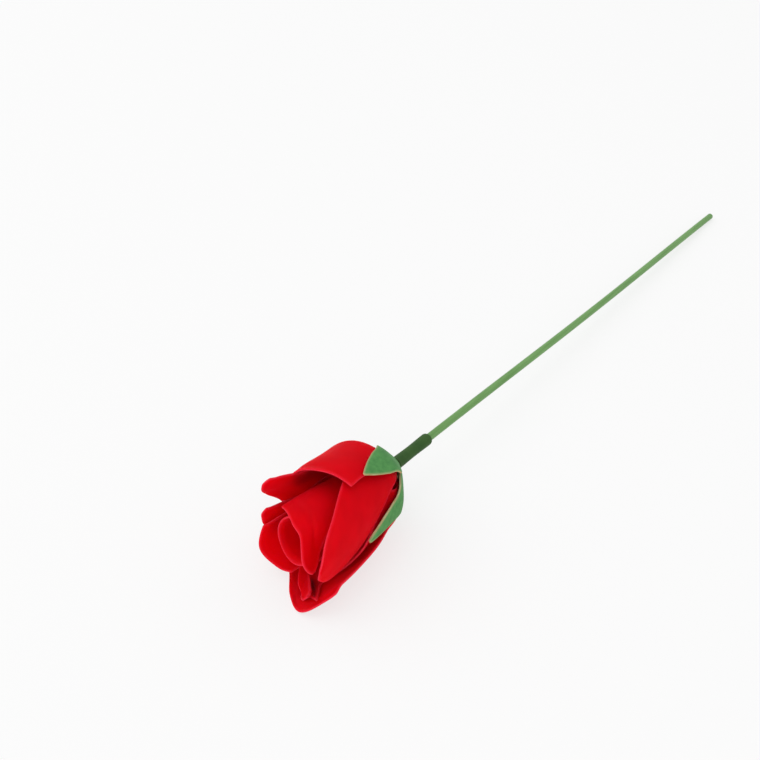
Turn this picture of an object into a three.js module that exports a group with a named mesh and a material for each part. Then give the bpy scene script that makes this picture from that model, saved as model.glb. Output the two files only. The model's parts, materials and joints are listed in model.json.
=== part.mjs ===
// A single artificial rose on a straight stem, lying on its side as it was laid on a table.
// Ten thin petals are stacked on a peg, a five-pointed calyx cups them from below, and a short
// sleeve joins the peg to a plain round stem. Millimetres and degrees, +Z up, +X from the flower
// towards the cut end of the stem.
//
// The flower is drawn about its own axis first: a height is measured along the axis from the top
// of the sleeve towards the open end, and an angle is measured about the axis, 0 on the side that
// faces up when the rose lies down and 180 on the side that it lies on.
import * as THREE from "three";
import { mergeVertices } from "three/addons/utils/BufferGeometryUtils.js";

// Sheets: the petals and the calyx
const petalThickness = 0.8;
const calyxThickness = 0.9;
const sheetGap = 0.4; // clear space between one sheet and the next

// Flower: its bottom is a cone, a round shoulder follows, and then a wall that widens a little
const flowerHeight = 74; // from the top of the sleeve to the highest rim
const coneSlope = 47;
const wallSlope = 86;
const wallRadius = 19; // outer petals, where the shoulder turns into the wall
const shoulderRound = 8;
const fullerSide = 48; // the flower is a little fuller towards this angle
const fullness = 0.07;
const nearSide = -39; // the rolled petals lean away from this angle
const calyxHubHeight = 0.9; // middle of the calyx sheet, where it is threaded on the peg

// Stem and sleeve
const stemDiameter = 3.2;
const stemLength = 313; // the whole rod, with the end that is hidden in the sleeve
const stemSag = 1.0; // the rod bends down a little between its ends
const stemChamfer = 0.35;
const sleeveDiameter = 5.1;
const sleeveLength = 23;
const sleeveRound = 0.9; // rounding of the sleeve's lower rim
const thinnestLip = 0.05; // what the rounding leaves of the rim beside the rod
const socketDepth = 20;
const socketClearance = 0.15; // all round the rod
const pegDiameter = 3.6;
const pegLength = 13.5;
const pegRound = 0.5;
const pegClearance = 0.45; // all round the peg, to the edges of the sheets

// How it lies: the sheets are pressed a little flat where they touch the table
const tableDepth = 18.5; // from the flower's axis down to the table, level with the calyx
const tableSpacing = 0.2; // what one pressed sheet keeps from the next, on top of sheetGap
const tableBlend = 0.25; // how softly a sheet turns into its pressed part

const radians = THREE.MathUtils.degToRad;
const mix = THREE.MathUtils.lerp;
const sheetPitch = petalThickness + sheetGap;
const hubPitch = (petalThickness + calyxThickness) / 2 + sheetGap;
const cone = radians(coneSlope);
const wall = radians(wallSlope);
const firstRingHeight = calyxHubHeight + hubPitch / Math.cos(cone);
const clawRadius = pegDiameter / 2 + pegClearance + (calyxThickness / 2) * Math.sin(cone);
const shoulderCentre = wallRadius - shoulderRound * Math.sin(wall);
const coneTop = shoulderCentre + shoulderRound * Math.sin(cone);
const coneTopHeight = firstRingHeight + (coneTop - clawRadius) * Math.tan(cone);
const shoulderHeight = coneTopHeight + shoulderRound * Math.cos(cone);
const stemRadius = stemDiameter / 2;
const stemTop = socketDepth - sleeveLength;
const stemEnd = stemTop - stemLength;
const tableSlope = (tableDepth - stemRadius) / -stemEnd;

// A petal is a sheet with four sides: the claw beside the peg, two edges and the rim.
//   ring    sheets below it where it is threaded on the peg
//   layer   sheets outside it at the wall of the flower
//   spread  its two edges, as [share of the way from claw to rim, low angle, high angle]
//   rim     its height, as [place from the low edge at -1 to the high edge at 1, share of
//           the flower's height]
//   stand   how far it stands out from its layer, as [share, low edge, middle, high edge]
//   roll    instead of the layered wall, its own radius, as [share of the flower's height,
//           share of the way from the claws out to the wall]
//   away    how far a roll leans from the near side, at its rim
const petals = [
  {
    name: "outer_petal_top",
    ring: 0,
    layer: 0,
    spread: [[0, 8, 50], [0.3, -14, 68], [0.55, -28, 80], [0.8, -29, 84], [1, -30, 78]],
    rim: [[-1, 0.588], [-0.2, 0.608], [0.4, 0.595], [1, 0.52]],
    stand: [[0, 0, 0, 0], [0.2, 0, 0.3, 0.1], [0.5, 0, 0.2, 0], [0.8, 0, -0.2, -0.1], [1, 0, -1.2, -0.9]],
  },
  {
    name: "outer_petal_bottom",
    ring: 0,
    layer: 0,
    spread: [
      [0, -178, -134],
      [0.3, -204, -116],
      [0.6, -210, -112],
      [0.85, -208, -114],
      [1, -196, -120],
    ],
    rim: [[-1, 0.77], [-0.5, 0.892], [0.13, 0.966], [1, 0.872]],
    stand: [[0, 0, 0, 0], [0.3, 0, 0, -1.3], [0.55, 0, 0.2, 0.6], [1, 0.6, 0.8, 1.3]],
  },
  {
    name: "outer_petal_front",
    ring: 0,
    layer: 2,
    spread: [
      [0, -52, -26],
      [0.3, -62, -16],
      [0.4, -74, -12],
      [0.5, -86, -12],
      [0.6, -104, -20],
      [0.7, -119, -31],
      [0.8, -118, -45],
      [0.9, -110, -62],
      [1, -98, -84],
    ],
    rim: [[-1, 0.953], [0, 1], [1, 0.973]],
    stand: [[0, 0, 0, 0], [0.35, -1, 0, 0], [0.6, -0.6, 0, 0], [0.8, 0, 0, 0], [1, 0, 0, 0]],
  },
  {
    name: "outer_petal_back",
    ring: 2,
    layer: 2,
    spread: [[0, 94, 130], [0.3, 92, 140], [0.55, 94, 142], [0.85, 88, 136], [1, 86, 122]],
    rim: [[-1, 0.736], [-0.7, 0.768], [0.2, 0.75], [1, 0.69]],
    stand: [[0, 0, 0, 0], [0.4, 0, 0, 0], [0.6, -0.5, -0.2, 0], [0.8, -1.4, -0.8, 0], [1, -1.3, -0.8, 0]],
  },
  {
    name: "middle_petal_top",
    ring: 1,
    layer: 1,
    spread: [[0, 46, 78], [0.3, 38, 106], [0.6, 45, 100], [0.85, 46, 98], [1, 48, 86]],
    rim: [[-1, 0.77], [-0.6, 0.791], [0.1, 0.73], [1, 0.608]],
    stand: [
      [0, 0, 0, 0],
      [0.4, 0, 0, 0],
      [0.6, -0.9, -0.6, -0.1],
      [0.8, -1.5, -1.4, -0.4],
      [1, -1.2, -1.5, -0.6],
    ],
  },
  {
    name: "middle_petal_back",
    ring: 3,
    layer: 3,
    spread: [[0, 112, 156], [0.3, 104, 168], [0.6, 98, 172], [0.85, 98, 172], [1, 104, 167]],
    rim: [[-1, 0.77], [-0.5, 0.838], [0, 0.845], [0.5, 0.818], [1, 0.784]],
    stand: [[0, 0, 0, 0], [0.5, 0, 0, 0], [0.75, -1.6, -0.7, 0], [1, -0.8, 0.2, 0.3]],
  },
  {
    name: "middle_petal_bottom",
    ring: 2,
    layer: 4,
    spread: [
      [0, 182, 210],
      [0.3, 180, 206],
      [0.6, 172, 202],
      [0.75, 171, 197],
      [0.9, 190, 210],
      [1, 211, 220],
    ],
    rim: [[-1, 0.959], [0, 0.98], [1, 0.959]],
    stand: [[0, 0, 0, 0], [0.75, -0.4, -0.4, -0.4], [0.9, 1, 1, 1], [1, 1.6, 1.6, 1.6]],
  },
  {
    name: "middle_petal_front",
    ring: 1,
    layer: 1,
    spread: [
      [0, -122, -94],
      [0.3, -146, -86],
      [0.45, -153, -103],
      [0.6, -160, -111],
      [0.8, -155, -112],
      [0.9, -145, -115],
      [1, -131, -119],
    ],
    rim: [[-1, 0.926], [0, 0.932], [1, 0.885]],
    stand: [
      [0, 0, 0, 0],
      [0.3, -0.9, -1.8, -2.2],
      [0.45, -0.5, -1.2, -2],
      [0.6, 0, 0, 0.2],
      [1, 0.5, 0.6, 1],
    ],
  },
  {
    name: "inner_petal",
    ring: 4,
    spread: [[0, -90, 20], [0.3, -100, 40], [0.6, -108, 60], [0.85, -110, 60], [1, -114, 52]],
    rim: [[-1, 0.938], [-0.6, 0.959], [-0.25, 0.905], [0.2, 0.878], [1, 0.777]],
    stand: [[0, 0, 0, 0], [0.6, 0, -0.6, 0], [0.85, 0, -1.6, 0], [1, 2, -2, 0]],
    roll: [
      [0.128, 0],
      [0.155, 0.123],
      [0.216, 0.269],
      [0.311, 0.379],
      [0.486, 0.513],
      [0.622, 0.598],
      [0.784, 0.635],
      [0.986, 0.659],
    ],
    away: 1.5,
  },
  {
    name: "centre_roll",
    ring: 5,
    spread: [[0, 60, 400], [0.4, 60, 440], [1, 60, 460]],
    rim: [[-1, 0.845], [-0.2, 0.851], [1, 0.757]],
    stand: [[0, 0, 0, 0], [0.3, 0.5, 0, -0.7], [1, 0.6, -0.2, -1.3]],
    roll: [[0.155, 0], [0.189, 0.056], [0.311, 0.172], [0.486, 0.257], [0.649, 0.306], [0.865, 0.33]],
    away: 1.2,
  },
];

// The five points of the calyx: angle at the hub, angle of the tip, height of the tip as a share
// of the flower's height, how far the point stands off at its low edge and at its high edge
const sepals = [
  [-30, -30, 0.507, 0.2, 0.2],
  [-84, -103, 0.574, -2, -2],
  [78, 78, 0.473, 0.2, 0.2],
  [130, 130, 0.5, 0.4, 0.4],
  [185, 185, 0.514, 0.6, 0.6],
];
// Half the width of a point in degrees, from the notch beside the hub to the tip
const sepalWidth = [[0.03, 36], [0.1, 30], [0.25, 17], [0.4, 14], [0.65, 9.5], [0.85, 5], [1, 1]];
const sepalStands = [0.08, 0.35]; // shares of its length between which a point comes to its stand

const coneShare = 0.18; // share of a sheet's length that lies in the cone, and with the shoulder
const cupShare = 0.3;
const layersPart = 0.05; // share of a petal's length where it leaves its ring for its layer
const bareLength = 5; // length above the calyx over which the petals come down to the table
const petalRows = 13;
const petalColumns = 11;
const rollColumns = 26;
const sepalRows = 11;
const sepalColumns = 6;
const roundSides = 20;

function smooth(from, to, x) {
  return THREE.MathUtils.smoothstep(x, from, to);
}

// Value at x of a smooth line through rows of [x, value, value, ...]
function along(rows, x, column = 1) {
  const last = rows.length - 1;
  if (x <= rows[0][0]) return rows[0][column];
  if (x >= rows[last][0]) return rows[last][column];
  const i = rows.findIndex((row) => row[0] > x) - 1;
  const slope = (k) => {
    const a = rows[Math.max(k - 1, 0)];
    const b = rows[Math.min(k + 1, last)];
    return (b[column] - a[column]) / (b[0] - a[0]);
  };
  const span = rows[i + 1][0] - rows[i][0];
  const t = (x - rows[i][0]) / span;
  const rise = rows[i + 1][column] - rows[i][column];
  const near = slope(i) * span - rise;
  const far = rise - slope(i + 1) * span;
  return rows[i][column] + t * rise + t * (1 - t) * ((1 - t) * near + t * far);
}

function polar(angle, radius, height) {
  const turn = radians(angle);
  return new THREE.Vector3(radius * Math.cos(turn), radius * Math.sin(turn), height);
}

function fuller(angle, radius) {
  return radius * (1 + fullness * Math.cos(radians(angle - fullerSide)));
}

// Keeps a sheet above the table, with a number of sheets under it
function pressed(angle, radius, height, thickness, sheetsBelow) {
  const down = -Math.cos(radians(angle));
  if (down <= 0) return radius;
  const spare = thickness / 2 + sheetsBelow * (sheetPitch + tableSpacing);
  const limit = (tableDepth + tableSlope * height - spare) / down;
  return (radius + limit - Math.hypot(radius - limit, tableBlend)) / 2;
}

// Point of a sheet that lies in the layered cup. Depth is how far it lies inside the outer petals,
// and footDepth is the same at the peg.
function cupPoint(share, rimHeight, depth, footDepth) {
  if (share < coneShare) {
    const base = mix(clawRadius + footDepth * Math.sin(cone), coneTop, share / coneShare);
    const rise = (base - clawRadius) * Math.tan(cone);
    return {
      radius: base - depth * Math.sin(cone),
      height: firstRingHeight + rise + depth * Math.cos(cone),
    };
  }
  const turn = mix(cone, wall, Math.min((share - coneShare) / (cupShare - coneShare), 1));
  const round = shoulderRound - depth;
  const point = {
    radius: shoulderCentre + round * Math.sin(turn),
    height: shoulderHeight - round * Math.cos(turn),
  };
  if (share > cupShare) {
    const rise = ((share - cupShare) / (1 - cupShare)) * (rimHeight - point.height);
    point.radius += rise / Math.tan(wall);
    point.height += rise;
  }
  return point;
}

function petalPoint(petal, across, share) {
  const low = along(petal.spread, share, 1);
  const high = along(petal.spread, share, 2);
  const angle = mix(low, high, (across + 1) / 2);
  const rimHeight = flowerHeight * along(petal.rim, across);
  const edge = along(petal.stand, share, across < 0 ? 1 : 3);
  const stand = mix(along(petal.stand, share, 2), edge, across * across);
  if (petal.roll) {
    const foot = firstRingHeight + (petal.ring * sheetPitch) / Math.cos(cone);
    const height = mix(foot, rimHeight, share);
    const radius = mix(clawRadius, wallRadius, along(petal.roll, height / flowerHeight));
    const lean = petal.away * share * Math.cos(radians(angle - nearSide - 180));
    return polar(angle, radius + stand + lean, height);
  }
  const depth = sheetPitch * mix(petal.ring, petal.layer, smooth(layersPart, cupShare, share));
  const { radius, height } = cupPoint(share, rimHeight, depth - stand, petal.ring * sheetPitch);
  const sheetsBelow = petal.layer + 1 - smooth(calyxHeight, calyxHeight + bareLength, height);
  const full = fuller(angle, radius);
  return polar(angle, pressed(angle, full, height, petalThickness, sheetsBelow), height);
}

const calyxHeight = flowerHeight * Math.max(...sepals.map((sepal) => sepal[2]));

function sepalPoint([hubAngle, tipAngle, tip, lowStand, highStand], across, share) {
  const angle = mix(hubAngle, tipAngle, share) + across * along(sepalWidth, share);
  const stand = smooth(...sepalStands, share) * mix(lowStand, highStand, (across + 1) / 2);
  const { radius, height } = cupPoint(share, flowerHeight * tip, -hubPitch - stand, -hubPitch);
  return polar(angle, pressed(angle, fuller(angle, radius), height, calyxThickness, 0), height);
}

// Closed solid from the middle surface of a sheet: points and four-sided cells of point numbers
function thicken(points, cells, thickness) {
  const normals = points.map(() => new THREE.Vector3());
  const edges = new Map();
  for (const cell of cells) {
    const [a, b, c, d] = cell.map((i) => points[i]);
    const normal = c.clone().sub(a).cross(d.clone().sub(b)).normalize();
    cell.forEach((i, k) => {
      normals[i].add(normal);
      const next = cell[(k + 1) % 4];
      if (!edges.delete(next + "," + i)) edges.set(i + "," + next, [i, next]);
    });
  }
  const shift = points.map((p, i) => normals[i].normalize().multiplyScalar(thickness / 2));
  const front = points.map((p, i) => p.clone().add(shift[i]));
  const back = points.map((p, i) => p.clone().sub(shift[i]));
  const corners = [];
  const quad = (a, b, c, d) => corners.push(a, b, c, a, c, d);
  for (const [a, b, c, d] of cells) {
    quad(front[a], front[b], front[c], front[d]);
    quad(back[d], back[c], back[b], back[a]);
  }
  for (const [a, b] of edges.values()) quad(front[b], front[a], back[a], back[b]);
  return outward(new THREE.BufferGeometry().setFromPoints(corners));
}

// Merges shared corners and turns the faces so that they point out
function outward(source) {
  const bare = new THREE.BufferGeometry().setAttribute("position", source.getAttribute("position"));
  if (source.index) bare.setIndex(source.index);
  const geometry = mergeVertices(bare, 1e-4);
  const position = geometry.getAttribute("position");
  const index = geometry.index.array;
  const corner = (i) => new THREE.Vector3().fromBufferAttribute(position, index[i]);
  let volume = 0;
  for (let i = 0; i < index.length; i += 3) {
    volume += corner(i).dot(corner(i + 1).cross(corner(i + 2)));
  }
  if (volume < 0) {
    for (let i = 0; i < index.length; i += 3) {
      [index[i + 1], index[i + 2]] = [index[i + 2], index[i + 1]];
    }
  }
  geometry.computeVertexNormals();
  return geometry;
}

function petalGeometry(petal) {
  const columns = petal.name === "centre_roll" ? rollColumns : petalColumns;
  const points = [];
  const cells = [];
  for (let row = 0; row <= petalRows; row++) {
    for (let column = 0; column <= columns; column++) {
      points.push(petalPoint(petal, (2 * column) / columns - 1, row / petalRows));
      const corner = row * (columns + 1) + column;
      if (row < petalRows && column < columns) {
        cells.push([corner, corner + 1, corner + columns + 2, corner + columns + 1]);
      }
    }
  }
  return thicken(points, cells, petalThickness);
}

// One star-shaped sheet: a hub ring with five points that start from its outer edge
function calyxGeometry() {
  const points = [];
  const cells = [];
  const around = sepals.length * sepalColumns;
  const notchShare = sepalWidth[0][0];
  const inOrder = [...sepals].sort((a, b) => a[0] - b[0]);
  const firstAngle = inOrder[0][0] - 180 / sepals.length;
  for (const share of [0, notchShare]) {
    const { radius, height } = cupPoint(share, coneTopHeight, -hubPitch, -hubPitch);
    for (let column = 0; column < around; column++) {
      const angle = firstAngle + (360 * column) / around;
      points.push(polar(angle, fuller(angle, radius), height));
    }
  }
  for (let column = 0; column < around; column++) {
    const next = (column + 1) % around;
    cells.push([column, next, around + next, around + column]);
  }
  inOrder.forEach((sepal, k) => {
    let lower = [];
    for (let column = 0; column <= sepalColumns; column++) {
      lower.push(around + ((k * sepalColumns + column) % around));
    }
    for (let row = 1; row <= sepalRows; row++) {
      const share = mix(notchShare, 1, row / sepalRows);
      const upper = lower.map((_, column) => {
        return points.push(sepalPoint(sepal, (2 * column) / sepalColumns - 1, share)) - 1;
      });
      for (let column = 0; column < sepalColumns; column++) {
        cells.push([lower[column], lower[column + 1], upper[column + 1], upper[column]]);
      }
      lower = upper;
    }
  });
  return thicken(points, cells, calyxThickness);
}

// A body of revolution about the flower's axis, from [radius, height] points
function turned(profile) {
  const points = profile.map(([radius, height]) => new THREE.Vector2(radius, height));
  return outward(new THREE.LatheGeometry(points, roundSides).rotateX(Math.PI / 2));
}

function sleeveGeometry() {
  const outer = sleeveDiameter / 2;
  const peg = pegDiameter / 2;
  const bore = stemRadius + socketClearance;
  const corner = sleeveRound * (1 - Math.SQRT1_2);
  return turned([
    [0, pegLength],
    [peg - pegRound, pegLength],
    [peg, pegLength - pegRound],
    [peg, 0],
    [outer, 0],
    [outer, sleeveRound - sleeveLength],
    [outer - corner, corner - sleeveLength],
    [Math.max(outer - sleeveRound, bore + thinnestLip), -sleeveLength],
    [bore, -sleeveLength],
    [bore, stemTop + socketClearance],
    [0, stemTop + socketClearance],
  ]);
}

// The rod is straight inside the sleeve and sags a little between the sleeve and the cut end
function stemGeometry() {
  const steps = 24;
  const freeTop = -sleeveLength;
  const neck = stemRadius - stemChamfer;
  const profile = [[0, stemTop], [neck, stemTop], [stemRadius, stemTop - stemChamfer]];
  for (let i = 0; i <= steps; i++) {
    profile.push([stemRadius, mix(freeTop, stemEnd + stemChamfer, i / steps)]);
  }
  profile.push([neck, stemEnd], [0, stemEnd]);
  const geometry = turned(profile);
  const position = geometry.getAttribute("position");
  for (let i = 0; i < position.count; i++) {
    const way = (freeTop - position.getZ(i)) / (freeTop - stemEnd);
    const sag = way > 0 ? stemSag * Math.sin(Math.PI * way) ** 2 : 0;
    position.setX(i, position.getX(i) - sag);
  }
  return geometry;
}

const petalRed = new THREE.MeshStandardMaterial({ color: 0xd0041a, roughness: 0.75, metalness: 0 });
const calyxGreen = new THREE.MeshStandardMaterial({ color: 0x4f9a52, roughness: 0.8, metalness: 0 });
const sleeveGreen = new THREE.MeshStandardMaterial({ color: 0x3a5a2a, roughness: 0.6, metalness: 0 });
const stemGreen = new THREE.MeshStandardMaterial({ color: 0x67a05a, roughness: 0.45, metalness: 0 });

function named(name, geometry, material) {
  const mesh = new THREE.Mesh(geometry, material);
  mesh.name = name;
  return mesh;
}

const flower = new THREE.Group();
flower.add(named("stem_rod", stemGeometry(), stemGreen));
flower.add(named("stem_sleeve", sleeveGeometry(), sleeveGreen));
flower.add(named("calyx", calyxGeometry(), calyxGreen));
for (const petal of petals) flower.add(named(petal.name, petalGeometry(petal), petalRed));

// The axis points away from the stem, and its angle 0 points up. Lying down, the flower's end of
// the axis is the higher one, because the flower is thicker than the stem.
const pitch = Math.atan(tableSlope);
const axis = new THREE.Vector3(-Math.cos(pitch), 0, Math.sin(pitch));
const up = new THREE.Vector3(Math.sin(pitch), 0, Math.cos(pitch));
const across = new THREE.Vector3().crossVectors(axis, up);
flower.quaternion.setFromRotationMatrix(new THREE.Matrix4().makeBasis(up, across, axis));

// The origin is on the table, under the middle of the whole rose
flower.updateMatrixWorld(true);
const bounds = new THREE.Box3().setFromObject(flower, true);
const middle = bounds.getCenter(new THREE.Vector3());
flower.position.set(-middle.x, -middle.y, -bounds.min.z);

const rose = new THREE.Group();
rose.add(flower);

export default rose;
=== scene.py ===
# A red paper rose, laid on its side: nine petals wrapped round a rolled centre, a green calyx cut
# from one sheet, a short sleeve and a long straight stem.
# Shapes are worked out in millimetres about the flower's own axis, with angle 0 at the side that faces
# up, and put on the table at the end.
import json
import math
from functools import partial

import bmesh
import bpy
from mathutils import Matrix, Vector


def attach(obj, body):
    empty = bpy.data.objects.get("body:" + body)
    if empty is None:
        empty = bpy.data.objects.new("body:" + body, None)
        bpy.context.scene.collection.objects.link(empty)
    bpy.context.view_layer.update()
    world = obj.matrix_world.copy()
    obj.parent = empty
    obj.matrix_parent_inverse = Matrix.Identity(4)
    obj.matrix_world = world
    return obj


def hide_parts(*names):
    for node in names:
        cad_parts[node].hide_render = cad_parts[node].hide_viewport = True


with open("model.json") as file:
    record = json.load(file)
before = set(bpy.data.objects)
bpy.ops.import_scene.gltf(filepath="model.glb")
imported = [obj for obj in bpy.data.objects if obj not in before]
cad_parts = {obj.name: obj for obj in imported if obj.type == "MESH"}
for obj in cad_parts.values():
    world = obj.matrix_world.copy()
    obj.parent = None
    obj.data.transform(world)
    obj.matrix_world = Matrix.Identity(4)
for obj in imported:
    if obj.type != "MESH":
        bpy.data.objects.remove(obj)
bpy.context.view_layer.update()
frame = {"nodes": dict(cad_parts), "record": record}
print("frame loaded:", len(frame["nodes"]), "nodes")

mm = 0.001

# How the sheets are cupped: a cone at the bottom, a round shoulder, then a wall that widens a little
cup = {
    "height": 74,  # from the top of the sleeve to the highest rim
    "coneSlope": 47,  # degrees from level
    "wallSlope": 86,
    "wallRadius": 19,  # where the wall starts
    "shoulderRound": 8,
    "fullerSide": 48,  # degrees
    "fullness": 0.07,  # share by which that side is wider and the other side narrower
    # (height, how far the sheets stand out further on the fuller side)
    "fullerBy": [(0, 0.8), (8, 1.6), (11, 1.4), (15, 0.7), (19, -0.2), (22, -1), (26, -1.3), (32, -1.3),
                 (42, -0.9), (50, -0.8), (74, -0.3)],
    "nearSide": -39,  # degrees, the side from which the two innermost pieces lean away
    "coneShare": 0.18,  # share of a sheet's length that lies in the cone
    "cupShare": 0.3,  # the same with the shoulder
    "layersPart": 0.05,  # share at which the sheets start to leave their order on the peg
}
sheet = {
    "petalThickness": 0.8,
    "calyxThickness": 0.9,
    "gap": 0.4,
    "calyxHubHeight": 0.9,  # from the top of the sleeve to the middle of the calyx sheet
    "pegDiameter": 3.6,
    "pegLength": 13.5,
    "pegRound": 0.5,
    "pegClearance": 0.45,
    "tableSpacing": 0.2,  # more room between the sheets that are pressed against the table
    "tableBlend": 0.25,  # softness of the bend beside the pressed part
    "tableDepth": 18.5,  # from the flower's axis down to the table
}
stem = {
    "diameter": 3.2,
    "top": -3,  # inside the sleeve, below the flower
    "end": -316,
    "sag": 1.0,  # bow of the free length
    "chamfer": 0.35,
    "sides": 48,
    "rows": 60,
}

# The flower's axis, from the mount at the cut end of the stem
cutEnd = frame["record"]["mounts"][0]
flowerAxis = -Vector(cutEnd["axis"]).normalized()
flowerAcross = Vector((0, 1, 0))
flowerUp = flowerAcross.cross(flowerAxis)
flowerOrigin = Vector(cutEnd["pos_m"]) - flowerAxis * stem["end"] * mm
toTable = Matrix((flowerUp, flowerAcross, flowerAxis)).transposed().to_4x4() @ Matrix.Scale(mm, 4)
toTable.translation = flowerOrigin

sheetPitch = sheet["petalThickness"] + sheet["gap"]
hubPitch = (sheet["petalThickness"] + sheet["calyxThickness"]) / 2 + sheet["gap"]
cone = math.radians(cup["coneSlope"])
wall = math.radians(cup["wallSlope"])
firstRing = sheet["calyxHubHeight"] + hubPitch / math.cos(cone)
clawRadius = sheet["pegDiameter"] / 2 + sheet["pegClearance"] + sheet["calyxThickness"] / 2 * math.sin(cone)
shoulderCentre = cup["wallRadius"] - cup["shoulderRound"] * math.sin(wall)
coneTop = shoulderCentre + cup["shoulderRound"] * math.sin(cone)
coneTopHeight = firstRing + (coneTop - clawRadius) * math.tan(cone)
shoulderHeight = coneTopHeight + cup["shoulderRound"] * math.cos(cone)
tableSlope = (sheet["tableDepth"] - stem["diameter"] / 2) / -stem["end"]


def mix(a, b, t):
    return a + (b - a) * t


def smooth(low, high, x):
    t = min(max((x - low) / (high - low), 0), 1)
    return t * t * (3 - 2 * t)


def along(rows, x, column=1):  # value at x of a smooth line through rows of (x, value, value, ...)
    if x <= rows[0][0]:
        return rows[0][column]
    if x >= rows[-1][0]:
        return rows[-1][column]
    i = max(k for k, row in enumerate(rows) if row[0] <= x)

    def slope(k):
        a, b = rows[max(k - 1, 0)], rows[min(k + 1, len(rows) - 1)]
        return (b[column] - a[column]) / (b[0] - a[0])

    span = rows[i + 1][0] - rows[i][0]
    t = (x - rows[i][0]) / span
    rise = rows[i + 1][column] - rows[i][column]
    near = slope(i) * span - rise
    far = rise - slope(i + 1) * span
    return rows[i][column] + t * rise + t * (1 - t) * ((1 - t) * near + t * far)


def polar(angle, radius, height):
    turn = math.radians(angle)
    return Vector((radius * math.cos(turn), radius * math.sin(turn), height))


def fuller(angle, radius, height):
    toSide = math.cos(math.radians(angle - cup["fullerSide"]))
    return radius * (1 + cup["fullness"] * toSide) + max(toSide, 0) ** 2 * along(cup["fullerBy"], height)


def pressed(angle, radius, height, thickness, sheetsBelow):  # keeps a sheet above the table
    down = -math.cos(math.radians(angle))
    if down <= 0:
        return radius
    spare = thickness / 2 + sheetsBelow * (sheetPitch + sheet["tableSpacing"])
    limit = (sheet["tableDepth"] + tableSlope * height - spare) / down
    return (radius + limit - math.hypot(radius - limit, sheet["tableBlend"])) / 2


def cupPoint(share, rimHeight, depth, footDepth):  # radius and height in the layered cup
    if share < cup["coneShare"]:
        base = mix(clawRadius + footDepth * math.sin(cone), coneTop, share / cup["coneShare"])
        rise = (base - clawRadius) * math.tan(cone)
        return base - depth * math.sin(cone), firstRing + rise + depth * math.cos(cone)
    part = (share - cup["coneShare"]) / (cup["cupShare"] - cup["coneShare"])
    turn = mix(cone, wall, min(part, 1))
    bend = cup["shoulderRound"] - depth
    radius = shoulderCentre + bend * math.sin(turn)
    height = shoulderHeight - bend * math.cos(turn)
    if share > cup["cupShare"]:
        rise = (share - cup["cupShare"]) / (1 - cup["cupShare"]) * (rimHeight - height)
        radius += rise / math.tan(wall)
        height += rise
    return radius, height


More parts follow.
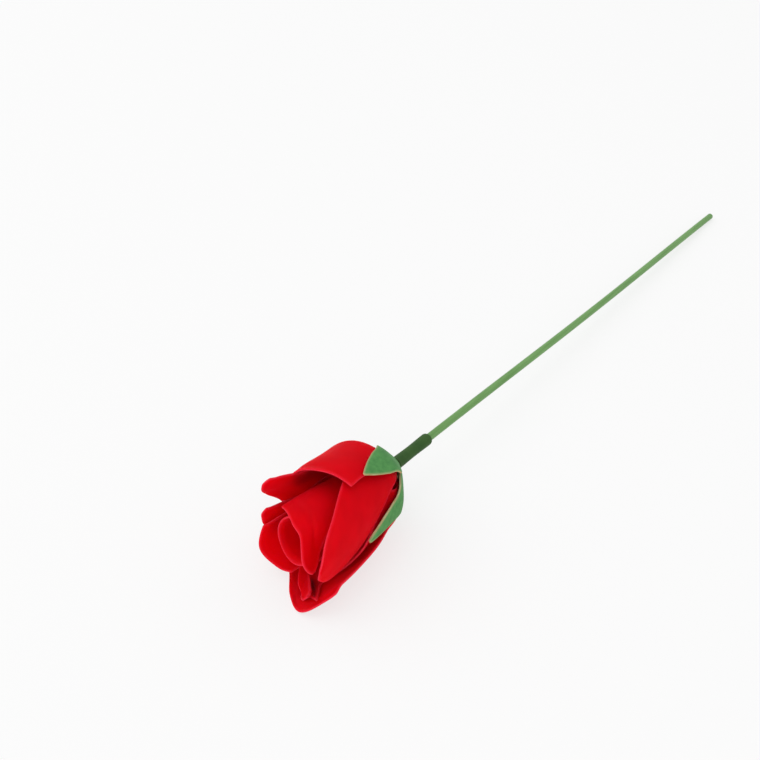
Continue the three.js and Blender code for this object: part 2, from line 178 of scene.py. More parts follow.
# Petals. ring: place in the stack on the peg, from below; layer: place from outside, in the wall;
# spread: (share of the length, angle of the low edge, angle of the high edge); rim: (place across, share
# of the flower's height); stand: (share, how far low edge, middle and high edge stand out); roll:
# (share of the flower's height, share of the way from the peg to the wall); away: how far it leans;
# lip: how far the last part of the rim turns outwards, and over what length; ripple: how far it waves;
# columns: faces across a wide sheet
petals = [
    {
        "name": "outer_petal_top", "ring": 0, "layer": 0,
        "spread": [(0, -28, 80), (0.15, -20, 84), (0.3, -14, 84), (0.55, -28, 84), (0.8, -29, 84),
                   (1, -30, 78)],
        "rim": [(-1, 0.588), (-0.2, 0.608), (0.4, 0.605), (1, 0.535)],
        "stand": [(0, 0, 0, 0), (0.2, 0, 0.3, 0.1), (0.5, 0, 0.2, 0), (0.8, 0, -0.2, -0.1),
                  (1, 0, -1.2, -0.9)],
        "lip": (0.3, 4), "ripple": 0.1,
    },
    {
        "name": "outer_petal_bottom", "ring": 0, "layer": 0,
        "spread": [(0, -178, -128), (0.1, -187, -110), (0.2, -196, -108), (0.3, -204, -112),
                   (0.6, -210, -112), (0.85, -209, -114), (1, -199, -121)],
        "rim": [(-1, 0.77), (-0.5, 0.892), (0.13, 0.966), (1, 0.875)],
        "stand": [(0, 0, 0, 0), (0.08, 0, 0.1, 0.3), (0.2, 0, 0, -0.8), (0.3, 0, 0, -1.3),
                  (0.55, 0, 0.6, 1.6), (0.8, 0.3, 1, 2.2), (1, 0.6, 0.8, 1.4)],
        "lip": (1.3, 5), "ripple": 0.15,
    },
    {
        "name": "outer_petal_front", "ring": 0, "layer": 2,
        "spread": [(0, -52, -26), (0.3, -64, -16), (0.4, -77, -12), (0.5, -91, -12), (0.6, -107, -20),
                   (0.7, -121, -31), (0.8, -120, -43), (0.9, -112, -55), (0.95, -107, -64), (1, -100, -78)],
        "rim": [(-1, 0.953), (0, 1), (1, 0.973)],
        "stand": [(0, 0, 0, 0), (0.35, -1, 0, 0), (0.6, -0.6, 0, 0), (0.8, 0, 0, 0), (1, 0, 0, 0)],
        "lip": (0, 4), "ripple": 0.1,
    },
    {
        "name": "outer_petal_back", "ring": 2, "layer": 2,
        "spread": [(0, 94, 130), (0.3, 92, 140), (0.55, 94, 142), (0.85, 88, 136), (1, 86, 122)],
        "rim": [(-1, 0.736), (-0.7, 0.768), (0.2, 0.75), (1, 0.69)],
        "stand": [(0, 0, 0, 0), (0.4, 0, 0, 0), (0.6, -0.5, -0.2, 0), (0.8, -0.3, 0.1, 0.4),
                  (1, 0, 0.4, 0.6)],
        "lip": (0.5, 4), "ripple": 0.15,
    },
    {
        "name": "middle_petal_top", "ring": 1, "layer": 1,
        "spread": [(0, 46, 78), (0.3, 38, 106), (0.6, 45, 100), (0.85, 46, 98), (1, 48, 86)],
        "rim": [(-1, 0.745), (-0.6, 0.772), (0.1, 0.74), (1, 0.63)],
        "stand": [(0, 0, 0, 0), (0.4, 0, 0, 0), (0.6, -0.9, -0.6, -0.1), (0.7, -0.6, -0.5, -0.1),
                  (0.8, 0.5, 0.2, 0), (0.9, 1.7, 1, 0.4), (1, 2.3, 1.6, 0.8)],
        "lip": (0.5, 4), "ripple": 0.15,
    },
    {
        "name": "middle_petal_back", "ring": 3, "layer": 3,
        "spread": [(0, 112, 156), (0.3, 104, 168), (0.6, 98, 172), (0.85, 98, 172), (1, 100, 167)],
        "rim": [(-1, 0.79), (-0.5, 0.845), (0, 0.848), (0.5, 0.832), (1, 0.81)],
        "stand": [(0, 0, 0, 0), (0.5, 0, 0, 0), (0.75, -1.6, -0.7, 0), (1, -0.8, 0.2, 0.3)],
        "lip": (0.6, 4), "ripple": 0.15,
    },
    {
        "name": "middle_petal_bottom", "ring": 2, "layer": 4,
        "spread": [(0, 182, 210), (0.3, 180, 206), (0.6, 171, 194), (0.75, 167, 185), (0.8, 172, 189),
                   (0.85, 180, 200), (0.9, 189, 210), (0.95, 203, 220), (1, 215, 223)],
        "rim": [(-1, 0.959), (0, 0.98), (1, 0.959)],
        "stand": [(0, 0, 0, 0), (0.75, -0.4, -0.4, -0.4), (0.9, 1, 1, 1), (1, 1.6, 1.6, 1.6)],
        "lip": (0, 4), "ripple": 0,
    },
    {
        "name": "middle_petal_front", "ring": 1, "layer": 1,
        "spread": [(0, -122, -94), (0.1, -130, -80), (0.15, -135, -72), (0.3, -146, -66), (0.45, -153, -88),
                   (0.6, -172, -118), (0.7, -182, -140), (0.8, -185, -155), (0.9, -178, -145),
                   (1, -155, -131)],
        "rim": [(-1, 0.82), (-0.3, 0.88), (0.4, 0.925), (1, 0.945)],
        "stand": [(0, 0, 0.2, 0.4), (0.1, -0.2, 0, 0.5), (0.15, -0.4, -0.6, -0.5), (0.2, -0.6, -1.4, -1.8),
                  (0.3, -0.9, -2.4, -3.6), (0.45, -0.5, -1.6, -3.2), (0.6, 0, 0, -0.4), (1, 0.5, 0.6, 1)],
        "lip": (0, 4), "ripple": 0,
    },
    {
        "name": "inner_petal", "ring": 4, "columns": 44,
        "spread": [(0, -70, 20), (0.3, -66, 40), (0.6, -62, 60), (0.78, -64, 60), (0.85, -82, 60),
                   (0.9, -95, 58), (0.95, -101, 55), (1, -97, 52)],
        "rim": [(-1, 0.96), (-0.9, 0.985), (-0.72, 0.99), (-0.5, 0.96), (-0.15, 0.905), (0.25, 0.878),
                (1, 0.777)],
        "stand": [(0, 0, 0, 0), (0.6, 0, -0.6, 0), (0.79, 0, -1.2, 0), (0.85, -1.4, -1.6, 0),
                  (0.89, -0.4, -1.7, 0), (1, 2, -2, 0)],
        "roll": [(0.128, 0), (0.155, 0.123), (0.216, 0.269), (0.311, 0.379), (0.486, 0.513),
                 (0.622, 0.598), (0.784, 0.635), (0.986, 0.659)],
        "away": 1.5, "lip": (0, 4), "ripple": 0.1,
    },
    {
        "name": "centre_roll", "ring": 5, "columns": 110,
        "spread": [(0, 20, 380), (0.4, 20, 395), (1, 20, 400)],
        "rim": [(-1, 0.81), (-0.5, 0.818), (-0.1, 0.848), (1, 0.757)],
        "stand": [(0, 0, 0, 0), (0.3, 0.5, 0, -0.7), (1, 0.6, -0.2, -1.3)],
        "roll": [(0.155, 0), (0.189, 0.056), (0.311, 0.172), (0.486, 0.257), (0.649, 0.306),
                 (0.865, 0.33)],
        "away": 1.2, "lip": (0.9, 3), "ripple": 0,
    },
]
petalMesh = {"columns": 30, "rows": 40, "levels": 1, "rippleCount": 2.5, "rippleFrom": 0.6}

# The five points of the calyx: angle at the hub, angle of the tip, height of the tip as a share of the
# flower's height, how far the point stands off at its low edge and at its high edge, lift of its tip.
# width: (share of the length, half of the angle that the point takes up)
calyx = {
    "points": [(-84, -102, 0.568, -1.7, -2.6, 0), (-30, -28, 0.482, 0.2, 0.2, 0),
               (84, 81, 0.45, 0.2, 0.2, 1.6), (130, 130, 0.5, 0.4, 0.4, 0), (185, 185, 0.514, 0.6, 0.6, 0)],
    "width": [(0.03, 36), (0.1, 30), (0.25, 17), (0.4, 14), (0.65, 9.5), (0.85, 5), (1, 1)],
    "stands": (0.03, 0.28),  # shares of its length between which a point comes to its stand
    "hub": 0.03,  # share of the length that is one ring
    "tight": 0.4,  # how far its hole closes around the glued peg
    "liftFrom": 0.5,
    "columns": 12,
    "rows": 36,
    "levels": 2,
}
calyxHeight = cup["height"] * max(point[2] for point in calyx["points"])
bareLength = 5  # length above the calyx over which the petals come down to the table


def petalPoint(petal, across, share):
    angle = mix(along(petal["spread"], share, 1), along(petal["spread"], share, 2), (across + 1) / 2)
    rimHeight = cup["height"] * along(petal["rim"], across)
    edge = along(petal["stand"], share, 1 if across < 0 else 3)
    stand = mix(along(petal["stand"], share, 2), edge, across * across)
    lipOut, lipLength = petal["lip"]
    stand += lipOut * smooth(1 - lipLength / rimHeight, 1, share)
    wave = math.sin(math.pi * petalMesh["rippleCount"] * across + petal["ring"])
    stand += petal["ripple"] * wave * smooth(petalMesh["rippleFrom"], 1, share)
    if "roll" in petal:
        foot = firstRing + petal["ring"] * sheetPitch / math.cos(cone)
        height = mix(foot, rimHeight, share)
        radius = mix(clawRadius, cup["wallRadius"], along(petal["roll"], height / cup["height"]))
        lean = petal["away"] * share * math.cos(math.radians(angle - cup["nearSide"] - 180))
        return polar(angle, radius + stand + lean, height)
    parted = smooth(cup["layersPart"], cup["cupShare"], share)
    depth = sheetPitch * mix(petal["ring"], petal["layer"], parted)
    radius, height = cupPoint(share, rimHeight, depth - stand, petal["ring"] * sheetPitch)
    sheetsBelow = petal["layer"] + 1 - smooth(calyxHeight, calyxHeight + bareLength, height)
    full = fuller(angle, radius, height)
    return polar(angle, pressed(angle, full, height, sheet["petalThickness"], sheetsBelow), height)


def calyxPoint(number, across, share):
    hubAngle, tipAngle, tip, lowStand, highStand, lift = calyx["points"][number]
    sector = 360 / len(calyx["points"])
    inHub = calyx["points"][0][0] + sector * (number + across / 2)
    inPoint = mix(hubAngle, tipAngle, share) + across * along(calyx["width"], share)
    angle = mix(inHub, inPoint, smooth(calyx["hub"], calyx["stands"][0] + calyx["hub"], share))
    stand = smooth(*calyx["stands"], share) * mix(lowStand, highStand, (across + 1) / 2)
    stand += lift * smooth(calyx["liftFrom"], 1, share)
    radius, height = cupPoint(share, cup["height"] * tip, -hubPitch - stand, -hubPitch)
    radius -= calyx["tight"] * smooth(calyx["hub"], 0, share)
    full = fuller(angle, radius, height)
    return polar(angle, pressed(angle, full, height, sheet["calyxThickness"], 0), height)


sheetCrowding = {
    "edges": 1.15,  # radians of the sine curve that draws the columns to the two edges
    "rim": 0.5,  # share of the sine curve that draws the rows to the rim
}


def sheetGrid(bm, pointAt, columns, rows, layers):
    # a grid that is crowded towards its margins and moved onto the sheet's middle surface;
    # its UV map and its margin attribute are in millimetres
    made = bmesh.ops.create_grid(bm, x_segments=columns, y_segments=rows, size=1)
    uvLayer, marginLayer = layers
    crowding = sheetCrowding["edges"]
    place = {}
    for vert in made["verts"]:
        across = math.sin(vert.co.x * crowding) / math.sin(crowding)
        share = (vert.co.y + 1) / 2
        share = mix(share, math.sin(share * math.pi / 2), sheetCrowding["rim"])
        place[vert] = (across, share)
    wallFoot = cup["cupShare"]
    length = (pointAt(0, 1) - pointAt(0, wallFoot)).length / (1 - wallFoot)
    for vert, (across, share) in place.items():
        left, middle, right = (pointAt(a, share) for a in (-1, 0, 1))
        width = (middle - left).length + (right - middle).length
        vert[marginLayer] = min((1 - abs(across)) * width / 2, (1 - share) * length)
        vert.co = pointAt(across, share)
        place[vert] = (across * width / 2, share * length)
    for face in {face for vert in made["verts"] for face in vert.link_faces}:
        face.smooth = True
        for loop in face.loops:
            loop[uvLayer].uv = place[loop.vert]


def newPiece(name, bm):
    bm.transform(toTable)
    mesh = bpy.data.meshes.new(name)
    bm.to_mesh(mesh)
    bm.free()
    piece = bpy.data.objects.new(name, mesh)
    bpy.context.scene.collection.objects.link(piece)
    return piece


def thicken(piece, thickness, levels):
    wallOf = piece.modifiers.new("thickness", "SOLIDIFY")
    wallOf.thickness = thickness * mm
    wallOf.offset = 0
    wallOf.use_even_offset = True
    wallOf.material_offset_rim = 1  # the cut edge has its own finish
    fine = piece.modifiers.new("smooth", "SUBSURF")
    fine.levels = fine.render_levels = levels


def newSheetMesh():
    bm = bmesh.new()
    return bm, (bm.loops.layers.uv.new("UVMap"), bm.verts.layers.float.new("margin"))


def makePetal(petal):
    bm, layers = newSheetMesh()
    columns = petal.get("columns", petalMesh["columns"])
    sheetGrid(bm, partial(petalPoint, petal), columns, petalMesh["rows"], layers)
    bmesh.ops.recalc_face_normals(bm, faces=bm.faces)
    piece = newPiece(petal["name"] + "_paper", bm)
    thicken(piece, sheet["petalThickness"], petalMesh["levels"])
    return piece


def makeCalyx():
    bm, layers = newSheetMesh()
    for number in range(len(calyx["points"])):
        sheetGrid(bm, partial(calyxPoint, number), calyx["columns"], calyx["rows"], layers)
    bmesh.ops.remove_doubles(bm, verts=bm.verts, dist=0.01)  # the points share their hub
    bmesh.ops.recalc_face_normals(bm, faces=bm.faces)
    piece = newPiece("calyx_paper", bm)
    thicken(piece, sheet["calyxThickness"], calyx["levels"])
    return piece


sleeve = {
    "diameter": 5.1,
    "length": 23,
    "topRound": 0.4,
    "endRound": 1.3,  # the rim beside the stem
    "waist": 0.15,  # how much thinner the middle is
    "bore": 3.3,
    "boreDepth": 3,  # of the open mouth; further in, the stem is glued
    "glue": 0.3,  # glue around the peg, which closes the gap to the petals' bases
    "bead": [(0.6, 0.3), (0.3, 0.1), (0.05, -0.3)],  # glue under the calyx: (height, inset)
    "rimRows": 8,
    "rows": 24,
    "sides": 64,
}

sharpFrom = 35  # degrees between two faces of a turned body, from which the edge there is sharp


def spinProfile(bm, profile, sides):  # a closed body of revolution from (radius, height) points
    verts = [bm.verts.new((radius, 0, height)) for radius, height in profile]
    edges = [bm.edges.new(pair) for pair in zip(verts, verts[1:])]
    bmesh.ops.spin(bm, geom=verts + edges, axis=(0, 0, 1), cent=(0, 0, 0), angle=2 * math.pi,
                   steps=sides, use_merge=True)
    bmesh.ops.remove_doubles(bm, verts=bm.verts, dist=0.001)  # the points on the axis
    bmesh.ops.recalc_face_normals(bm, faces=bm.faces)
    for face in bm.faces:
        face.smooth = True
    for edge in bm.edges:
        edge.smooth = edge.calc_face_angle(0) < math.radians(sharpFrom)


def makeSleeve():
    outer = sleeve["diameter"] / 2
    bore = sleeve["bore"] / 2
    end = -sleeve["length"]
    endRound = sleeve["endRound"]
    peg = sheet["pegDiameter"] / 2 + sleeve["glue"]
    pegTop = sheet["pegLength"]
    pegRound = sheet["pegRound"]
    profile = [(0, pegTop), (peg - pegRound, pegTop), (peg, pegTop - pegRound),
               (peg, sleeve["bead"][0][0] + pegRound)]
    profile += [(outer - inset, height) for height, inset in sleeve["bead"]]
    profile.append((outer, -sleeve["topRound"]))
    for row in range(1, sleeve["rows"]):
        share = row / sleeve["rows"]
        waist = sleeve["waist"] * math.sin(math.pi * share) ** 2
        profile.append((outer - waist, mix(-sleeve["topRound"], end + endRound, share)))
    for row in range(sleeve["rimRows"] + 1):
        turn = math.pi / 2 * row / sleeve["rimRows"]
        inward = (outer - bore) * (1 - math.cos(turn))
        profile.append((outer - inward, end + endRound * (1 - math.sin(turn))))
    profile += [(bore, end + sleeve["boreDepth"]), (0, end + sleeve["boreDepth"])]
    bm = bmesh.new()
    spinProfile(bm, profile, sleeve["sides"])
    return newPiece("stem_sleeve_moulded", bm)


def makeStem():
    radius = stem["diameter"] / 2
    neck = radius - stem["chamfer"]
    freeTop = -sleeve["length"]
    profile = [(0, stem["top"]), (neck, stem["top"]), (radius, stem["top"] - stem["chamfer"])]
    for row in range(stem["rows"] + 1):
        profile.append((radius, mix(freeTop, stem["end"] + stem["chamfer"], row / stem["rows"])))
    profile += [(neck, stem["end"]), (0, stem["end"])]
    bm = bmesh.new()
    spinProfile(bm, profile, stem["sides"])
    for face in bm.faces:
        if abs(face.normal.z) > 0.5:  # the flat ends and their chamfers
            face.smooth = False
            face.material_index = 1  # cut end
    for vert in bm.verts:
        way = (freeTop - vert.co.z) / (freeTop - stem["end"])
        if way > 0:
            vert.co.x -= stem["sag"] * math.sin(math.pi * way) ** 2
    return newPiece("stem_rod_covered", bm)


# Materials
def linear(hexColour):  # "#rrggbb" as a shader's linear colour
    parts = [int(hexColour[i:i + 2], 16) / 255 for i in (1, 3, 5)]
    return [p / 12.92 if p <= 0.04045 else ((p + 0.055) / 1.055) ** 2.4 for p in parts] + [1]


def addNode(tree, kind, settings=None, links=None):
    node = tree.nodes.new(kind)
    for name, value in (settings or {}).items():
        if isinstance(name, int) or name in node.inputs:  # a number tells sockets of one name apart
            node.inputs[name].default_value = value
        else:
            setattr(node, name, value)
    for name, socket in (links or {}).items():
        tree.links.new(socket, node.inputs[name])
    return node


def newMaterial(name, settings):
    material = bpy.data.materials.new(name)
    material.use_nodes = True
    tree = material.node_tree
    tree.nodes.clear()
    shader = addNode(tree, "ShaderNodeBsdfPrincipled", settings)
    addNode(tree, "ShaderNodeOutputMaterial", links={"Surface": shader.outputs["BSDF"]})
    return material, tree, shader


def addRamp(tree, value, *stops):  # a colour that follows the value; stops: (value, colour)
    ramp = addNode(tree, "ShaderNodeValToRGB", {}, {"Fac": value.outputs["Fac"]})
    for element, (place, colour) in zip(ramp.color_ramp.elements, stops):
        element.position = place
        element.color = linear(colour)
    return ramp.outputs["Color"]


def addMargin(tree, look, face):  # the face's colour, which goes over to the margin's at the cut edge
    margin = addNode(tree, "ShaderNodeAttribute", {"attribute_name": "margin"})
    near = addNode(tree, "ShaderNodeMapRange", {
        "interpolation_type": "SMOOTHSTEP", "From Min": look["marginWidth"],
        "From Max": look["marginFull"], "To Min": 0, "To Max": look["marginShare"]},
        {"Value": margin.outputs["Fac"]})
    mixed = addNode(tree, "ShaderNodeMix", {"data_type": "RGBA", 7: linear(look["margin"])},
                    {0: near.outputs["Result"], 6: face})
    return mixed.outputs[2]


def addRelief(tree, shader, height, strength, depth):  # depth in millimetres
    bump = addNode(tree, "ShaderNodeBump", {"Strength": strength, "Distance": depth * mm},
                   {"Height": height.outputs["Fac"]})
    tree.links.new(bump.outputs["Normal"], shader.inputs["Normal"])


# Paper dyed in the mass and stretched over the petal: a matte, slightly velvety face with a very fine
# grain that runs along the petal and shows only as a soft unevenness. The lighter red towards the
# margins is a painted highlight, for the light that the petals' rims catch.
petalLook = {
    "red": "#dc0010",
    "deepRed": "#ce000e",
    # painted highlight: the lighter red that the face takes near its margins
    "margin": "#e41c30",
    # painted highlight: the paler red of the lit cut edge
    "cutEdge": "#e83248",
    "marginWidth": 1.4,  # mm
    "marginFull": 0.2,  # mm from the edge, where the margin's colour is strongest
    "marginShare": 0.75,
    "edgeRoughness": 0.7,
    "fibresPerMm": 1.2,
    "grainAcross": 0.55,  # mm
    "grainAlong": 9,
    "cloud": 11,  # size of the darker patches, mm
    "grainDepth": 0.05,
    "roughness": 0.62,
    "gloss": 0.04,
    "sheen": 0.08,
    "sheenTint": "#ff5060",
    "glow": 0.8,  # share of the light that passes through the thin sheet
    "glowDepth": 3.5,
}


def makePetalPaper(look):
    material, tree, shader = newMaterial("red_paper", {
        "Roughness": look["roughness"], "Specular IOR Level": look["gloss"], "IOR": 1.45,
        "Sheen Weight": look["sheen"], "Sheen Roughness": 0.45, "Sheen Tint": linear(look["sheenTint"]),
        "Subsurface Weight": look["glow"], "Subsurface Radius": (1, 0.1, 0.1),
        "Subsurface Scale": look["glowDepth"] * mm})
    uv = addNode(tree, "ShaderNodeUVMap", {"uv_map": "UVMap"})
    grainSpace = addNode(tree, "ShaderNodeMapping", {
        "Scale": (1 / look["grainAcross"], 1 / look["grainAlong"], 1)}, {"Vector": uv.outputs["UV"]})
    grain = addNode(tree, "ShaderNodeTexNoise", {"Scale": 1, "Detail": 3, "Roughness": 0.55},
                    {"Vector": grainSpace.outputs["Vector"]})
    cloud = addNode(tree, "ShaderNodeTexNoise", {"Scale": 1 / look["cloud"], "Detail": 2},
                    {"Vector": uv.outputs["UV"]})
    clouded = addRamp(tree, cloud, (0.3, look["deepRed"]), (0.65, look["red"]))
    # the lighter margin mixed in here is a painted highlight along the rims
    tree.links.new(addMargin(tree, look, clouded), shader.inputs["Base Color"])
    addRelief(tree, shader, grain, 0.5, look["grainDepth"])
    return material


# The petal's cut edge: the same paper seen end on, painted paler red as a highlight for the light that the
# edge catches
def makePetalEdge(look):
    material, tree, shader = newMaterial("cut_edge_of_red_paper_painted_highlight", {
        "Roughness": look["edgeRoughness"], "Specular IOR Level": look["gloss"],
        "Sheen Weight": look["sheen"], "Sheen Roughness": 0.5, "Sheen Tint": linear(look["sheenTint"])})
    uv = addNode(tree, "ShaderNodeUVMap", {"uv_map": "UVMap"})
    fibres = addNode(tree, "ShaderNodeTexNoise", {"Scale": look["fibresPerMm"], "Detail": 3},
                     {"Vector": uv.outputs["UV"]})
    # painted highlight: the edge runs from the margin's lighter red to the paler red of a lit cut edge
    coloured = addRamp(tree, fibres, (0.3, look["margin"]), (0.7, look["cutEdge"]))
    tree.links.new(coloured, shader.inputs["Base Color"])
    return material


# Green paper of the calyx: matte, mottled by the dye in patches of a few millimetres
calyxLook = {
    "green": "#5a9a55",
    "deepGreen": "#488449",
    "margin": "#a5ab78",
    "cutEdge": "#c6c293",
    "cutEdgeTan": "#bd9a62",
    "mottle": 2.6,  # mm
    "mottleDepth": 0.05,
    "marginWidth": 0.9,
    "marginFull": 0.1,
    "marginShare": 0.7,
    "edgeRoughness": 0.8,
    "edgeGloss": 0.2,
    "stainsPerMm": 0.22,
    "roughness": 0.7,
    "gloss": 0.12,
    "sheen": 0.06,
    "sheenTint": "#d8f0d0",
}


def makeCalyxPaper(look):
    material, tree, shader = newMaterial("green_paper", {
        "Roughness": look["roughness"], "Specular IOR Level": look["gloss"],
        "Sheen Weight": look["sheen"], "Sheen Roughness": 0.5, "Sheen Tint": linear(look["sheenTint"])})
    uv = addNode(tree, "ShaderNodeUVMap", {"uv_map": "UVMap"})
    mottle = addNode(tree, "ShaderNodeTexNoise", {
        "Scale": 1 / look["mottle"], "Detail": 4, "Roughness": 0.6}, {"Vector": uv.outputs["UV"]})
    mottled = addRamp(tree, mottle, (0.32, look["deepGreen"]), (0.66, look["green"]))
    tree.links.new(addMargin(tree, look, mottled), shader.inputs["Base Color"])
    addRelief(tree, shader, mottle, 0.4, look["mottleDepth"])
    return material


# The calyx's cut edge: the sheet is cream inside its dyed faces, so the cut shows pale, in places tan
def makeCalyxEdge(look):
    material, tree, shader = newMaterial("cut_edge_of_green_paper", {
        "Roughness": look["edgeRoughness"], "Specular IOR Level": look["edgeGloss"]})
    uv = addNode(tree, "ShaderNodeUVMap", {"uv_map": "UVMap"})
    stain = addNode(tree, "ShaderNodeTexNoise", {"Scale": look["stainsPerMm"], "Detail": 3},
                    {"Vector": uv.outputs["UV"]})
    coloured = addRamp(tree, stain, (0.42, look["cutEdge"]), (0.62, look["cutEdgeTan"]))
    tree.links.new(coloured, shader.inputs["Base Color"])
    return material


# Moulded polyethylene of the sleeve: dark green, satin, with a faint waviness left by the mould
sleeveLook = {
    "green": "#3d5e2e",
    "deepGreen": "#34552a",
    "patch": 4,  # mm
    "patchDepth": 0.1,
    "roughness": 0.6,
    "gloss": 0.12,
}

# Extruded PVC covering of the stem: lighter green and a little glossy, drawn out lengthwise, so its
# streaks run along the stem
stemLook = {
    "green": "#63914f",
    "paleGreen": "#74a35f",
    "endGreen": "#66755f",
    "endShade": "#58664f",
    "streakAcross": 0.9,  # mm
    "streakAlong": 45,
    "streakDepth": 0.05,
    "roughness": 0.42,
    "gloss": 0.2,
    "sawMark": 0.4,  # mm
    "endRoughness": 0.7,
}


def makeSleevePlastic(look):
    material, tree, shader = newMaterial("dark_green_moulded_polyethylene", {
        "Roughness": look["roughness"], "IOR": 1.5, "Specular IOR Level": look["gloss"]})
    place = addNode(tree, "ShaderNodeTexCoord")
    patch = addNode(tree, "ShaderNodeTexNoise", {"Scale": 1 / (look["patch"] * mm), "Detail": 3},
                    {"Vector": place.outputs["Object"]})
    coloured = addRamp(tree, patch, (0.3, look["deepGreen"]), (0.7, look["green"]))
    tree.links.new(coloured, shader.inputs["Base Color"])
    addRelief(tree, shader, patch, 0.3, look["patchDepth"])
    return material


def makeStemPlastic(look):
    material, tree, shader = newMaterial("light_green_extruded_PVC", {
        "Roughness": look["roughness"], "IOR": 1.53, "Specular IOR Level": look["gloss"]})
    place = addNode(tree, "ShaderNodeTexCoord")
    stretched = addNode(tree, "ShaderNodeMapping", {
        "Scale": (1 / (look["streakAlong"] * mm), 1 / (look["streakAcross"] * mm),
                  1 / (look["streakAcross"] * mm))}, {"Vector": place.outputs["Object"]})
    streak = addNode(tree, "ShaderNodeTexNoise", {"Scale": 1, "Detail": 3},
                     {"Vector": stretched.outputs["Vector"]})
    coloured = addRamp(tree, streak, (0.3, look["green"]), (0.7, look["paleGreen"]))
    tree.links.new(coloured, shader.inputs["Base Color"])
    addRelief(tree, shader, streak, 0.15, look["streakDepth"])
    return material


# The stem's sawn end: duller and greyer than its skin
def makeStemCut(look):
    material, tree, shader = newMaterial("sawn_end_of_stem", {"Roughness": look["endRoughness"]})
    place = addNode(tree, "ShaderNodeTexCoord")
    marks = addNode(tree, "ShaderNodeTexNoise", {"Scale": 1 / (look["sawMark"] * mm), "Detail": 2},
                    {"Vector": place.outputs["Object"]})
    coloured = addRamp(tree, marks, (0, look["endShade"]), (1, look["endGreen"]))
    tree.links.new(coloured, shader.inputs["Base Color"])
    return material


def dress(piece, node, materials):
    for material in materials:
        piece.data.materials.append(material)
    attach(piece, "root")
    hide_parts(node)


petalPaper = [makePetalPaper(petalLook), makePetalEdge(petalLook)]
for petal in petals:
    dress(makePetal(petal), petal["name"], petalPaper)
print("petals made:", len(petals))

dress(makeCalyx(), "calyx", [makeCalyxPaper(calyxLook), makeCalyxEdge(calyxLook)])
dress(makeSleeve(), "stem_sleeve", [makeSleevePlastic(sleeveLook)])
dress(makeStem(), "stem_rod", [makeStemPlastic(stemLook), makeStemCut(stemLook)])
print("calyx, sleeve and stem made")

# Table, light and camera
studio = {
    "floor": "#f6f6f6",
    "floorSize": 24,  # metres
    "floorGlow": 0.7,  # share of plain white that the camera sees in the table
    "skyStrength": 0.72,
    "keyPower": 21,
    "keySize": 3.2,
    "keyFrom": (-0.4, 1.3, 2.2),  # metres from the flower
    "fillPower": 20,
    "fillSize": 1.6,
    "fillFrom": (-2.4, -1.2, 0.8),
}
cameraPlace = {
    "from": (-322.56, -220.97, 292.86),  # mm from the top of the sleeve
    "elevation": 33,  # degrees that it looks down
    "heading": 35.29,  # degrees between its way and the stem
    "lens": 59.21,
    "sensor": 36,
}


def seenDirectly(tree):  # 1 for the camera, for reflections and through clear things
    path = addNode(tree, "ShaderNodeLightPath")
    direct = addNode(tree, "ShaderNodeMath", {"operation": "MAXIMUM"}, {
        0: path.outputs["Is Camera Ray"], 1: path.outputs["Is Glossy Ray"]})
    clear = addNode(tree, "ShaderNodeMath", {"operation": "MAXIMUM"}, {
        0: direct.outputs[0], 1: path.outputs["Is Transmission Ray"]})
    return clear.outputs[0]


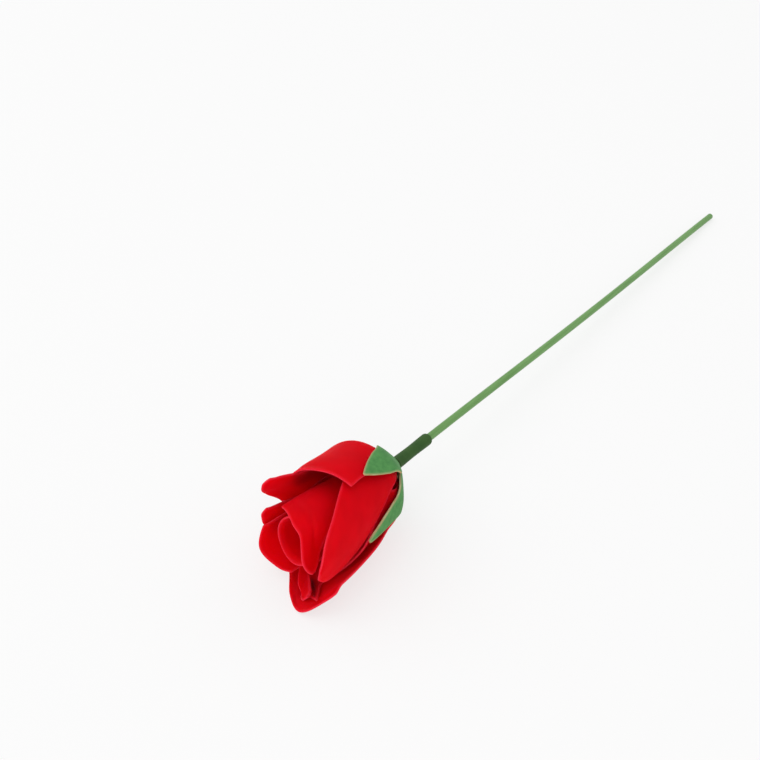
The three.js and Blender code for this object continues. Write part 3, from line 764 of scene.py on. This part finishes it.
def makeFloor():
    bm = bmesh.new()
    bmesh.ops.create_grid(bm, x_segments=1, y_segments=1, size=studio["floorSize"] / 2)
    mesh = bpy.data.meshes.new("table")
    bm.to_mesh(mesh)
    bm.free()
    floor = bpy.data.objects.new("table", mesh)
    bpy.context.scene.collection.objects.link(floor)
    # laminate board, matt white: it takes the shadow, and the camera, gloss and clear things see it whiter
    material, tree, shader = newMaterial("white_laminate", {
        "Base Color": linear(studio["floor"]), "Roughness": 0.9, "Specular IOR Level": 0.1})
    white = addNode(tree, "ShaderNodeEmission", {"Color": (1, 1, 1, 1), "Strength": 1})
    amount = addNode(tree, "ShaderNodeMath", {"operation": "MULTIPLY", 1: studio["floorGlow"]},
                     {0: seenDirectly(tree)})
    mixed = addNode(tree, "ShaderNodeMixShader", {}, {
        0: amount.outputs[0], 1: shader.outputs["BSDF"], 2: white.outputs[0]})
    output = next(node for node in tree.nodes if node.type == "OUTPUT_MATERIAL")
    tree.links.new(mixed.outputs[0], output.inputs["Surface"])
    mesh.materials.append(material)


def makeLamp(name, power, size, offset):
    lamp = bpy.data.lights.new(name, "AREA")
    lamp.energy = power
    lamp.size = size
    holder = bpy.data.objects.new(name, lamp)
    bpy.context.scene.collection.objects.link(holder)
    holder.location = flowerOrigin + Vector(offset)
    holder.rotation_euler = (-Vector(offset)).to_track_quat("-Z", "Y").to_euler()


def makeSky():  # soft light, which the camera, gloss and clear things see as plain white
    world = bpy.data.worlds.new("studio")
    bpy.context.scene.world = world
    world.use_nodes = True
    tree = world.node_tree
    tree.nodes.clear()
    light = addNode(tree, "ShaderNodeBackground", {
        "Strength": studio["skyStrength"], "Color": (1, 1, 1, 1)})
    seen = addNode(tree, "ShaderNodeBackground", {"Strength": 1, "Color": (1, 1, 1, 1)})
    mixed = addNode(tree, "ShaderNodeMixShader", {}, {
        0: seenDirectly(tree), 1: light.outputs[0], 2: seen.outputs[0]})
    addNode(tree, "ShaderNodeOutputWorld", {}, {"Surface": mixed.outputs[0]})


def makeCamera():
    camera = bpy.data.cameras.new("camera")
    camera.lens = cameraPlace["lens"]
    camera.sensor_width = cameraPlace["sensor"]
    holder = bpy.data.objects.new("camera", camera)
    bpy.context.scene.collection.objects.link(holder)
    holder.location = flowerOrigin + Vector(cameraPlace["from"]) * mm
    tilt = math.radians(90 - cameraPlace["elevation"])
    holder.rotation_euler = (tilt, 0, math.radians(cameraPlace["heading"] - 90))
    bpy.context.scene.camera = holder


makeFloor()
makeLamp("key", studio["keyPower"], studio["keySize"], studio["keyFrom"])
makeLamp("fill", studio["fillPower"], studio["fillSize"], studio["fillFrom"])
makeSky()
makeCamera()
bpy.context.scene.view_settings.view_transform = "Standard"
print("table, light and camera set")
